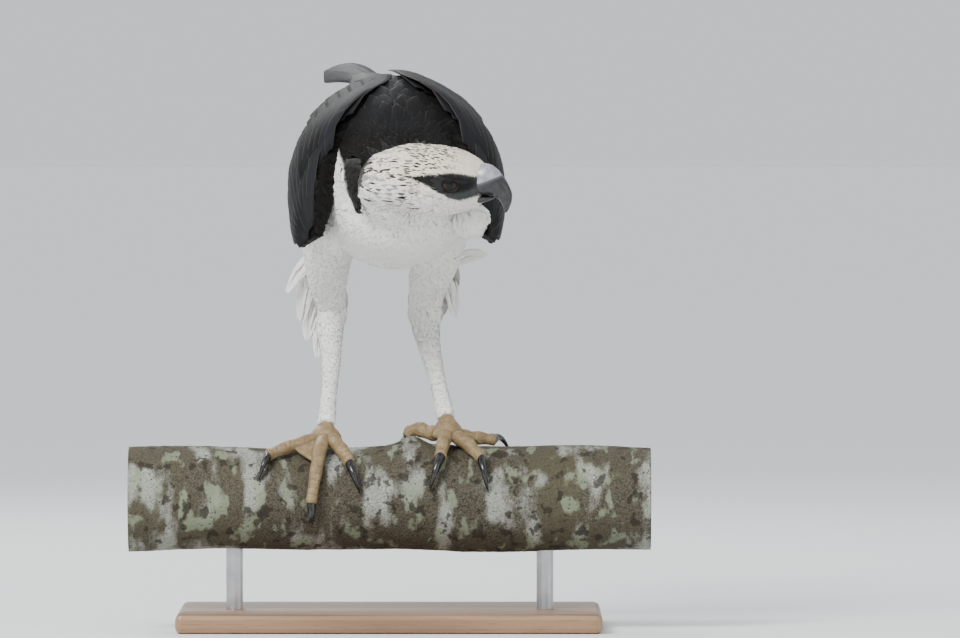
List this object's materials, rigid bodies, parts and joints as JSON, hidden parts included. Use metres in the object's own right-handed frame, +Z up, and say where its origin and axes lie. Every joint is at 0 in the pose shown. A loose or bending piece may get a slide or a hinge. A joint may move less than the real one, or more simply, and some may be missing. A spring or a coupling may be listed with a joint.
{
  "type": "bird of prey model",
  "caption": "Life-size still model of a hawk-eagle leaning forward on a cut branch, wings folded, on a flat display stand.",
  "frame": {"origin": "centre of the underside of the stand's base", "axes": "+Z up; the bird's breast faces -Y and its own right side is at -X, so a viewer in front looks along +Y"},
  "size_m": [0.37, 0.5879, 0.4014],
  "materials": {
    "head_feather": "cream head feathers with fine dark streaks",
    "neck_feather": "white to cream feathers",
    "white_down": "soft white feathers",
    "mantle_feather": "blackish brown feathers",
    "wing_feather": "blackish brown vaned feathers",
    "tail_feather": "dark vaned feathers with faint bars",
    "leg_down": "short white feathers",
    "iris": "dark wet eye",
    "bill": "dark grey horn",
    "toe_skin": "scaly ochre skin",
    "horn": "black horn",
    "bark": "rough bark with pale lichen",
    "stand_wood": "satin stained wood",
    "steel": "brushed"
  },
  "bodies": {
    "root": {"head": "head_feather", "neck": "neck_feather", "torso": "white_down", "mantle": "mantle_feather", "wing_left": "wing_feather", "wing_right": "wing_feather", "tail": "tail_feather", "thigh_left": "leg_down", "thigh_right": "leg_down", "tarsus_left": "leg_down", "tarsus_right": "leg_down", "eye_left": "iris", "eye_right": "iris", "bill_upper": "bill", "bill_lower": "bill", "foot_left": "toe_skin", "foot_right": "toe_skin", "perch": "bark", "stand_base": "stand_wood", "stand_rod_left": "steel", "stand_rod_right": "steel", "claw_left_1": "horn", "claw_left_2": "horn", "claw_left_3": "horn", "claw_left_4": "horn", "claw_right_1": "horn", "claw_right_2": "horn", "claw_right_3": "horn", "claw_right_4": "horn"}
  },
  "joints": []
}
